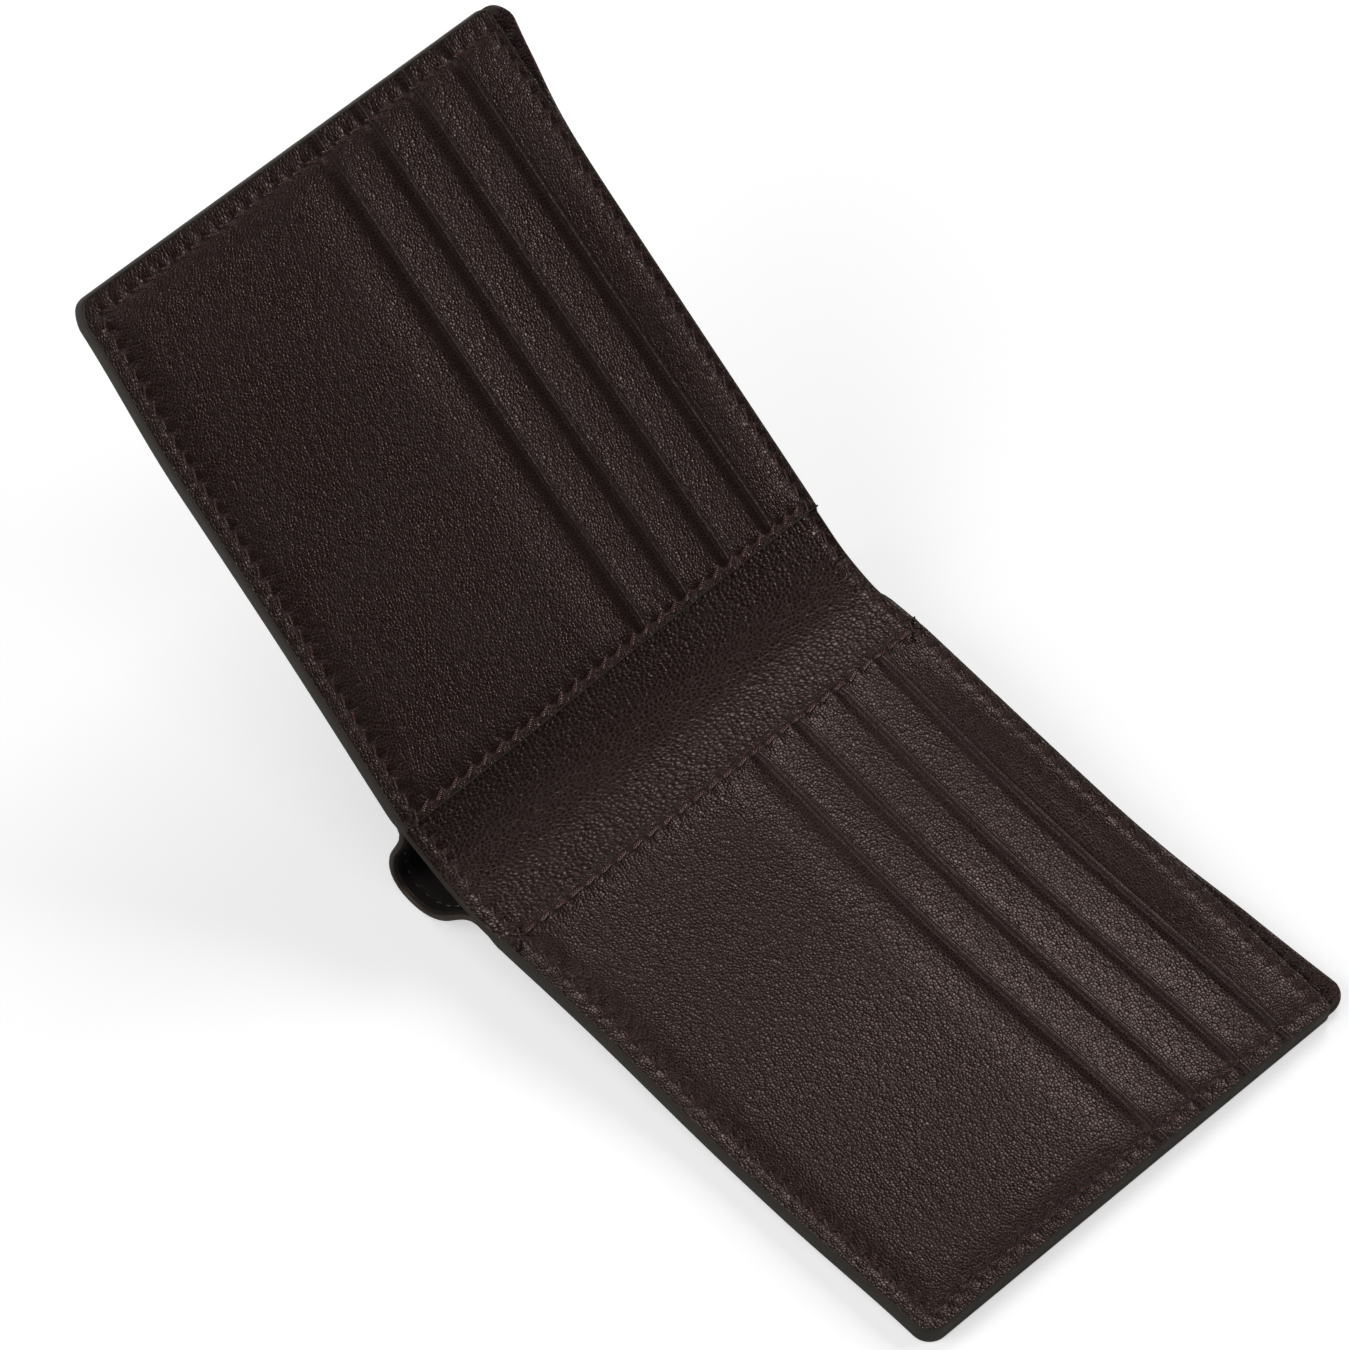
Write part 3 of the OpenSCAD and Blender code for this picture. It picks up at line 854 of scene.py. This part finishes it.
def wall_lining(side):
    """Fabric behind the inner wall: two level faces, and a step down along the outer end and the bottom,
    where its hem is folded double."""
    first, u1 = WALL.first, half_l - lining_in
    y0, y1, r = y_bottom + lining_in, wall_y_top - lining_in, corner_r - lining_in
    s_ticks = ticks(first, u1, 2.0, [(first, 0.4), (panel_seam_u, 0.4), (u1, 0.4)], 0.25)
    y_ticks = ticks(y0, y1, 2.0, [(y0 + seam_in, 0.3), (y1 - 1.6, 0.35)], 0.3)

    def hem(s, y):
        rim = inside(s, y, half_l, y_bottom, wall_y_top + 2 * seam_in, corner_r)
        doubled = (1 - smooth((rim - 2 * seam_in + 0.5) / 0.5)) * smooth((s - panel_seam_u) / 2)
        return 0.42 * note_gap * doubled

    cloth = leaf(f"{side}_wall_lining_cloth", side, wall_line(side), s_ticks, y_ticks,
                 round_end(u1, y0, y1, r, r), level(wall_z - glue), lambda s, y: wall_lining_z - hem(s, y),
                 LINING)
    return cloth


# ---------------------------------------------------------------- card panel
panel_u0, panel_u1 = bare_w + rim_in, half_l - rim_in
square = 1000.0         # an outline with an end this far away has no rounded corner there


def panel_rub_and_painted_light(i):
    """Handling polishes the panel's side. The mouth's rim carries two thin lines of painted highlight. Just
    inside it the leather is stretched smooth, with painted shade on a line and over a band, and a line of
    painted shade lies behind the mouth in front."""
    def rub_and_painted_light(s, y):
        rub_and_painted_light = 0.3 * bell(s - bare_w - 0.5, 0.6)
        if i < BAND:
            d = mouth_y(i) - y
            # painted highlight: two thin light lines along the mouth's rim
            rub_and_painted_light = np.maximum(np.maximum(1.3 * bell(d - 0.3, 0.15), 0.5 * bell(d - 1.0, 0.1)), rub_and_painted_light)
            stretched = smooth((d - 0.4) / 0.25) * (1 - smooth((d - 1.6) / 1.6))
            # painted shade: a dark line and a band just inside the mouth, where the leather is stretched
            # smooth
            rub_and_painted_light = rub_and_painted_light - 0.7 * bell(d - 0.7, 0.15) - 0.2 * stretched
        # painted shade: a line behind the mouth in front
        return rub_and_painted_light - (bell(y - mouth_y(i - 1) - 0.1, 0.28) if i > 0 else 0.0)
    return rub_and_painted_light


def panel_leather(side, i, name, y_ticks, end, top, bottom, shift):
    """A piece of the card panel. Its place on the hide is shifted, so that no two pieces look alike."""
    s_ticks = ticks(panel_u0, panel_u1, 1.5, [(panel_u0, 0.25), (panel_seam_u, 0.2),
                                              (panel_u1 - seam_in, 0.3), (panel_u1, 0.4)], 0.25)
    return leaf(f"{side}_{name}_leather", side, wall_line(side), s_ticks, y_ticks, end, top, bottom,
                POCKET, rub_and_painted_light=panel_rub_and_painted_light(i), shift=shift, seam=wall_seam(True))


def pocket(side, i, name):
    """Pocket i, from the bottom edge or its tuck up to its mouth, between the two faces worked out above."""
    y0, mouth = (y_bottom + rim_in if i == 0 else tuck_y(i)), mouth_y(i)
    marks = [(mouth, 0.04), (mouth - 0.85, 0.05), (mouth - 2.0, 0.2)]
    marks += [(y_bottom + seam_in, 0.17), (y0, 0.4)] if i == 0 else [(mouth_y(i - 1), 0.12), (y0, 0.3)]
    end = round_end(panel_u1, y0 if i == 0 else -square, square, corner_r, top_r)
    return panel_leather(side, i, name, ticks(y0, mouth, 1.4, marks, 0.25), end, pocket_top(i),
                         pocket_bottom(i), 23.0 * i)


def top_band(side):
    """The strip above the rear pocket's mouth: a level underside, and on it the leather's thickness."""
    y0, y1 = tuck_y(BAND), panel_y_top - rim_in
    marks = [(y0, 0.3), (mouth_y(3), 0.12), (wall_y_top - top_in, 0.15), (y1, 0.3)]
    return panel_leather(side, BAND, "top_band", ticks(y0, y1, 1.4, marks, 0.25),
                         round_end(panel_u1, -square, y1, corner_r, top_r), band_top,
                         level(pocket_z(BAND)), 117.0)


def panel_back(side):
    """The leather that the pockets are sewn to: two level faces."""
    y0, y1 = y_bottom + rim_in, panel_y_top - rim_in
    s_ticks = ticks(panel_u0, panel_u1, 2.5, [(panel_u0, 0.4), (panel_seam_u, 0.5), (panel_u1, 0.6)], 0.3)
    y_ticks = ticks(y0, y1, 2.5, [(y0, 0.5), (y1, 0.5)], 0.3)
    return leaf(f"{side}_panel_back_leather", side, wall_line(side), s_ticks, y_ticks,
                round_end(panel_u1, y0, y1, corner_r, top_r), level(back_t - glue), level(glue),
                POCKET, shift=171.0, seam=wall_seam(True))


def carrier(side, i, name):
    """T-shaped fabric under pocket i: wide where it is sewn to the strip, and narrow from there down to the
    pocket's bottom, between two level faces."""
    top, bottom = tuck_y(i) + carrier_lap, mouth_y(i) - pocket_depth
    narrow, wide = carrier_in, seam_in / 2
    split, edge, slack = tuck_y(i) - wing_h, 0.2, 0.004
    s_ticks = ticks(bare_w + wide, half_l - wide, 3.0, [(panel_seam_u, 0.5), (half_l - wide, 0.6)], 0.3)
    y_ticks = np.concatenate([np.linspace(bottom, split - edge, 16), [split],
                              np.linspace(split + edge, top, 8)])

    def drawn_in(y):
        return np.where(y < split, narrow - wide, 0.0)

    cloth = leaf(f"{side}_{name}_cloth", side, wall_line(side), s_ticks, y_ticks,
                 lambda y: half_l - wide - drawn_in(y), level(carrier_z(i) + carrier_t - slack),
                 level(carrier_z(i) + slack), CARRIER,
                 start=lambda y: bare_w + wide + drawn_in(y))
    return cloth


# ---------------------------------------------------------------- edge paint
def outline_path():
    """Points and outward directions along the inner wall's rim: its bottom, its outer end and back along its
    top, from the middle of the spine to the middle of the spine."""
    first, y1, r, q = WALL.first, wall_y_top, corner_r, top_r
    marks = [(first, 0.4), (fold_reach + 2, 0.4), (bare_w, 0.12)]
    bottom, top = ticks(first, half_l - r, 1.6, marks, 0.25), ticks(first, half_l - q, 1.6, marks, 0.25)[::-1]
    end = ticks(y_bottom + r, y1 - q, 1.6, [(mouth_y(i) + 0.1, 0.12) for i in range(4)], 0.25)
    arc = np.linspace(0, math.pi / 2, 15)[1:-1]
    low_out, high_out = np.stack([np.sin(arc), -np.cos(arc)], -1), np.stack([np.cos(arc), np.sin(arc)], -1)
    at = np.concatenate([
        np.stack([bottom, np.full_like(bottom, y_bottom)], -1), [half_l - r, y_bottom + r] + r * low_out,
        np.stack([np.full_like(end, half_l), end], -1), [half_l - q, y1 - q] + q * high_out,
        np.stack([top, np.full_like(top, y1)], -1)])
    out = np.concatenate([
        np.tile([0.0, -1.0], (len(bottom), 1)), low_out, np.tile([1.0, 0.0], (len(end), 1)), high_out,
        np.tile([0.0, 1.0], (len(top), 1))])
    return at, out


def channel(name, side, at, out, z_low, z_high, lip_in, bulge, notch=None, wear_and_painted_light=0.0):
    """A thin skin of paint round a rim, swept along the path at: over the top face by lip_in, round the side,
    which bulges, and under the lower face. notch gives the depth and the level of a line along its side. The
    last argument makes the paint paler at each point of the path; rim_paint gives it painted light on the
    right half's outer end."""
    across = np.linspace(1, -1, 13)
    side_in = rim_in - (rim_in + bulge) * (1 - np.abs(across) ** 3.2)
    side_h = np.sign(across) * (1 - (1 - np.abs(across)) ** 1.35)
    lap_in = [lip_in, lip_in * 0.6 + 0.06]
    over = np.array([0.01, paint_t * 0.8, paint_t, paint_t * 0.7])
    into = np.concatenate([lap_in, side_in, lap_in[::-1], [lip_in, rim_in, rim_in, lip_in]])
    h = np.concatenate([[1.0, 1.0], side_h, [-1.0, -1.0], [-1.0, -1.0, 1.0, 1.0]])[None, :]
    up = np.concatenate([over, np.zeros(9), -over[::-1], [0.02, 0.02, -0.02, -0.02]])
    into = np.tile(into, (len(at), 1))
    if notch is not None:
        depth, level_at = notch
        into[:, 2:15] += depth[:, None] * bell(h[:, 2:15] - level_at, 0.2)
    mid, half = (z_high + z_low)[:, None] / 2, (z_high - z_low)[:, None] / 2
    z = mid + h * half + up
    s = at[:, :1] - out[:, :1] * into
    y = at[:, 1:] - out[:, 1:] * into
    points = wall_line(side)(s, y, z)
    rows, cols = z.shape
    faces = quads(rows, cols, wrap=True, flip=side == "left")
    caps = [list(range(cols))[::-1], [(rows - 1) * cols + k for k in range(cols)]]
    if side == "left":
        caps = [c[::-1] for c in caps]
    length = np.concatenate([[0], np.cumsum(np.hypot(*np.diff(at, axis=0).T))])
    around = np.cumsum(np.abs(np.diff(h, axis=1, prepend=h[:, :1])), 1)
    uv = np.stack([length[:, None] + 0 * z, around + 0 * z], -1)
    rub_and_painted_light = 0 * z + np.concatenate([[0, 0.3, 0.9, 0.5], np.zeros(9), [0.5, 0.6, 0.2, 0], np.zeros(4)])
    # painted light, where the last argument gives it, on top of the rubbed corners
    rub_and_painted_light = np.maximum(rub_and_painted_light, np.broadcast_to(wear_and_painted_light, len(at))[:, None])
    return piece(name, points, [*faces.tolist(), *caps], uv * MM, PAINT,
                 rub_and_painted_light=rub_and_painted_light.ravel(), sharp=70)


def rim_paint(side):
    """Paint round the inner wall and the card panel, and over the cover's edge where it is sewn to them."""
    at, out = outline_path()
    inner = at - out * 0.7
    s, y = inner.T
    z_high = soft_stack_top(s, y)
    along_bottom = smooth((s - loop_start) / 5.0) if side == "right" else smooth((s - loop_start - 3) / 6.0)
    sewn = np.where(out[:, 1] > 0.01, 0.0, along_bottom)
    corner = smooth((out[:, 0] - 0.2) / 0.75)
    sewn = np.where((out[:, 1] > 0) & (out[:, 0] > 0.01), corner, sewn)
    z_wall = wall_lining_z - 0.35 * (1 - sewn) * (out[:, 1] < 0)
    z_low = z_wall + (cover_z - z_wall) * sewn
    notch = (0.14 * (1 - sewn) * (out[:, 1] < 0), -0.05)
    # painted light: the right half's outer end is painted paler, as if lit from that side
    wear_and_painted_light = 0.9 * smooth((out[:, 0] - 0.4) / 0.5) if side == "right" else 0 * s
    return channel(f"{side}_rim_paint", side, at, out, z_low, z_high, 0.3, 0.08, notch, wear_and_painted_light)


def panel_paint(side):
    """Paint down the side of the card panel beside the fold."""
    y = ticks(y_bottom + 0.5, panel_y_top, 1.6, [(mouth_y(i) + 0.1, 0.12) for i in range(4)], 0.25)
    at = np.stack([np.full_like(y, bare_w), y], -1)[::-1]
    out = np.tile([-1.0, 0.0], (len(y), 1))
    z_high = soft_stack_top(np.full_like(y, bare_w + 1.0), at[:, 1])
    return channel(f"{side}_panel_paint", side, at, out, np.full_like(z_high, 0.03), z_high, 0.3, 0.06)


# ---------------------------------------------------------------- stitches
def rounded_run(s0, s1, y0, y1, r):
    """Seam line along the bottom, round the outer end and back along the top, as a dense list of points."""
    arc = np.linspace(0, math.pi / 2, 24)
    return np.concatenate([
        np.stack([np.linspace(s0, s1 - r, 400), np.full(400, y0)], -1),
        np.stack([s1 - r + r * np.sin(arc), y0 + r - r * np.cos(arc)], -1),
        np.stack([np.full(300, s1), np.linspace(y0 + r, y1 - r, 300)], -1),
        np.stack([s1 - r + r * np.cos(arc), y1 - r + r * np.sin(arc)], -1),
        np.stack([np.linspace(s1 - r, s0, 400), np.full(400, y1)], -1)])


def spaced(path):
    """Centres and directions of the stitches along a line, one pitch apart, from half a pitch on."""
    length = np.concatenate([[0], np.cumsum(np.hypot(*np.diff(path, axis=0).T))])
    n = max(int(round(length[-1] / stitch_pitch)), 1)
    where = (np.arange(n) + 0.5) * length[-1] / n

    def point(at):
        return np.stack([np.interp(at, length, path[:, k]) for k in (0, 1)], -1)

    d = point(where + 0.3) - point(where - 0.3)
    return point(where), d / np.hypot(*d.T)[:, None]


def stitches(name, side, line, runs, height, face=1.0, slant=0.16, long=2.5, sink=0.0, thick=0.46):
    """Rows of stitches as one mesh. Each is a short length of thread, round across, that rises from one
    needle hole and dips into the next, and lies aslant to its seam."""
    rings, around = 8, 8
    t = np.linspace(-1, 1, rings)
    a = np.arange(around) * 2 * math.pi / around
    thin = np.sqrt(np.clip(1 - np.abs(t) ** 3.5, 0.03, 1))
    along = np.repeat(t * long / 2, around)
    across = (thick / 2 * thin[:, None] * np.cos(a)).ravel()
    up = (thick / 2 * thin[:, None] * np.sin(a) * 0.9).ravel() + np.repeat(
        0.12 - sink - 0.34 * np.abs(t) ** 3, around)
    rng = np.random.default_rng(len(name) * 7 + len(side))
    points, uvs, faces, count = [], [], [], 0
    one = quads(rings, around, wrap=True)
    caps = [list(range(around))[::-1], list(range((rings - 1) * around, rings * around))]
    for run in runs:
        at, d = spaced(run)
        n = len(at)
        turn = (slant + rng.normal(0, 0.09, n)) * way[side] * face
        d = np.stack(turned(d.T, turn), -1)
        side_way = np.stack([-d[:, 1], d[:, 0]], -1)
        lift = rng.normal(0, 0.035, n)[:, None]
        s = at[:, :1] + d[:, :1] * along + side_way[:, :1] * across
        y = at[:, 1:] + d[:, 1:] * along + side_way[:, 1:] * across
        z = height(s, y) + face * (up[None, :] + lift)
        points.append(line(s, y, z).reshape(-1, 3))
        uvs.append(np.stack([along[None, :] + 5.0 * np.arange(n)[:, None],
                             np.tile(np.tile(np.arange(around) / around, rings), (n, 1))], -1).reshape(-1, 2))
        for k in range(n):
            base = count + k * rings * around
            faces += (one + base).tolist()
            faces += [[v + base for v in cap] for cap in caps]
        count += n * rings * around
    if way[side] * face < 0:
        faces = [f[::-1] for f in faces]
    return piece(name, np.concatenate(points), faces, np.concatenate(uvs) * MM, THREAD, sharp=80)


def seam_runs(side):
    """The seams that show on the inside, and those of the cover."""
    first = WALL.first
    perimeter = rounded_run(first, half_l - seam_in, y_bottom + seam_in, wall_y_top - top_in, seam_r)
    panel = np.stack([np.full(300, panel_seam_u),
                      np.linspace(y_bottom + seam_in + row_gap, wall_y_top - top_in - row_gap, 300)], -1)
    c0 = COVER[side].first
    outside = rounded_run(c0, half_l - seam_in, y_bottom + seam_in, y_top - seam_in, seam_r)
    loose = fold_reach + (0.0 if side == "right" else 6.0)
    hem = np.stack([np.linspace(c0, loose, 120), np.full(120, y_bottom + seam_in)], -1)
    top = np.stack([np.linspace(c0, half_l - seam_in - seam_r, 400), np.full(400, y_top - seam_in)], -1)
    return perimeter, panel, outside, hem, top


# ---------------------------------------------------------------- making the pieces
def table_point(line, s, z):
    """Point on the table at a piece's mid height, at length s and level z of a line."""
    return tuple(float(v) for v in line(np.array([s]), np.array([0.0]), np.array([z]))[0])


def bend_over(obj, side, line, s_from, s_to, z):
    """Bakes a piece's place into its mesh. The points of its line at s_from, on the half, and at s_to, on the
    spine, are worked out but left unused, so the piece is not bent across the fold line.
    """
    on_half, on_spine = table_point(line, s_from, z), table_point(line, s_to, z)
    if side == "right":
        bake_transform(obj)
    else:
        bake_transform(obj)


for side in SIDES:
    line, low = wall_line(side), cover_line(side)
    wall_bend = (line, fold_reach, WALL.first, 0.0)
    cover_bend = (low, COVER[side].start, COVER[side].first, mid_z)
    for make, bend, part, spine_part in (
            (cover, cover_bend, "outer_cover", "spine_cover_loop"),
            (cover_lining, cover_bend, "cover_lining", "spine_cover_lining"),
            (inner_wall, wall_bend, "inner_wall", "spine_inner_wall"),
            (wall_lining, wall_bend, "wall_lining", "spine_wall_lining")):
        made = make(side)
        bend_over(made, side, *bend)
        # the right half's piece also stands for the spine's
        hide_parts(f"{side}_{part}", *([spine_part] if side == "right" else []))
    bend_over(rim_paint(side), side, *wall_bend)

    for made, part in ([(pocket(side, i, POCKETS[i]), POCKETS[i]) for i in range(4)]
                       + [(carrier(side, i, CARRIERS[i]), CARRIERS[i]) for i in (1, 2, 3)]
                       + [(top_band(side), "top_band"), (panel_back(side), "panel_back")]):
        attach(made, body[side])
        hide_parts(f"{side}_{part}")
    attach(panel_paint(side), body[side])

    perimeter, panel, outside, hem, top = seam_runs(side)
    panel_slant = 0.57 if side == "left" else 0.22
    bend_over(stitches(f"{side}_seam_stitches", side, line, [perimeter], soft_stack_top, slant=-0.3),
              side, *wall_bend)
    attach(stitches(f"{side}_panel_stitches", side, line, [panel], soft_stack_top, slant=panel_slant,
                     long=2.6, sink=-0.14, thick=0.72), body[side])
    bend_over(stitches(f"{side}_cover_stitches", side, low, [outside], level(cover_z), face=-1.0, sink=0.32),
              side, *cover_bend)
    bend_over(stitches(f"{side}_hem_stitches", side, low, [hem, top], level(cover_z + cover_t), sink=0.1),
              side, *cover_bend)


# ---------------------------------------------------------------- camera, lights and floor
def from_right_half(v, point):
    """A vector or point of the right half's frame, in millimetres, in the table's frame."""
    c, s = math.cos(tilt["right"]), math.sin(tilt["right"])
    x0, z0 = fold_line["right"] if point else (0.0, 0.0)
    return np.array([x0 + c * v[0] + s * v[2], v[1], z0 - s * v[0] + c * v[2]])


azimuth, elevation, roll = (math.radians(a) for a in (-46.81, 59.02, 1.06))
aim, distance = np.array([-8.6, 7.9, 0.0]), 1314.5
forward = np.array([math.sin(azimuth) * math.cos(elevation), math.cos(azimuth) * math.cos(elevation),
                    -math.sin(elevation)])
level = np.array([math.cos(azimuth), -math.sin(azimuth), 0.0])
upward = np.cross(level, forward)
cam_right = math.cos(roll) * level + math.sin(roll) * upward
cam_up = -math.sin(roll) * level + math.cos(roll) * upward
eye = from_right_half(aim - forward * distance, True) * MM
axes = [from_right_half(v, False) for v in (cam_right, cam_up, -forward)]

sc = bpy.context.scene
camera_data = bpy.data.cameras.new("camera")
camera_data.sensor_width = 36.0
camera_data.lens = 213.3
camera = bpy.data.objects.new("camera", camera_data)
matrix = np.eye(4)
matrix[:3, :3] = np.array(axes).T
matrix[:3, 3] = eye
camera.matrix_world = Matrix(matrix)
sc.collection.objects.link(camera)
sc.camera = camera


def lamp(name, at, wide, deep, power):
    """A soft box at a point, wide from left to right, turned towards the wallet."""
    data = bpy.data.lights.new(name, "AREA")
    data.shape = "RECTANGLE"
    data.size, data.size_y = wide, deep
    data.energy = power
    obj = bpy.data.objects.new(name, data)
    z = np.array(at) - [0.0, 0.0, 0.02]
    z = z / np.linalg.norm(z)
    x = np.cross([0.0, 1.0, 0.0], z)
    x = x / np.linalg.norm(x)
    turn = np.eye(4)
    turn[:3, :3] = np.array([x, np.cross(z, x), z]).T
    turn[:3, 3] = at
    obj.matrix_world = Matrix(turn)
    sc.collection.objects.link(obj)


lamp("window", (-0.476, 0.936, 1.071), 0.6, 0.6, 7.5)
lamp("side", (0.856, 1.078, 0.593), 0.4, 0.3, 4.8)
lamp("top", (0.375, -0.15, 1.445), 0.7, 0.7, 3.0)
lamp("fill", (-0.375, -1.17, 0.855), 1.2, 1.2, 12.0)

# the camera sees a white world, which lights the wallet only weakly
world = bpy.data.worlds.new("studio")
sc.world = world
world.use_nodes = True
sky = Graph(world.node_tree)
seen = {0: sky.node("LightPath").outputs["Is Camera Ray"], 2: 0.05, 3: 1.0}
sky.feed(sky.tree.nodes["Background"].inputs, {
    "Color": (1, 1, 1, 1), "Strength": sky.node("Mix", seen, data_type="FLOAT").outputs[0]})

# the floor shows pale to the camera by its own glow, and lights nothing with it
floor_mesh = bpy.data.meshes.new("floor")
reach = 6.0             # metres from the middle to each side
floor_mesh.from_pydata([(-reach, -reach, 0), (reach, -reach, 0), (reach, reach, 0), (-reach, reach, 0)],
                       [], [(0, 1, 2, 3)])
floor = bpy.data.objects.new("floor", floor_mesh)
sc.collection.objects.link(floor)
pale_floor, g, shader = material("pale_floor")
glow = g.times(g.node("LightPath").outputs["Is Camera Ray"], 0.52)
g.feed(shader, {"Base Color": (0.7, 0.7, 0.7, 1), "Roughness": 0.9, "Specular IOR Level": 0.1,
                "Emission Color": (1, 1, 1, 1), "Emission Strength": glow})
floor_mesh.materials.append(pale_floor)

sc.view_settings.view_transform = "Standard"
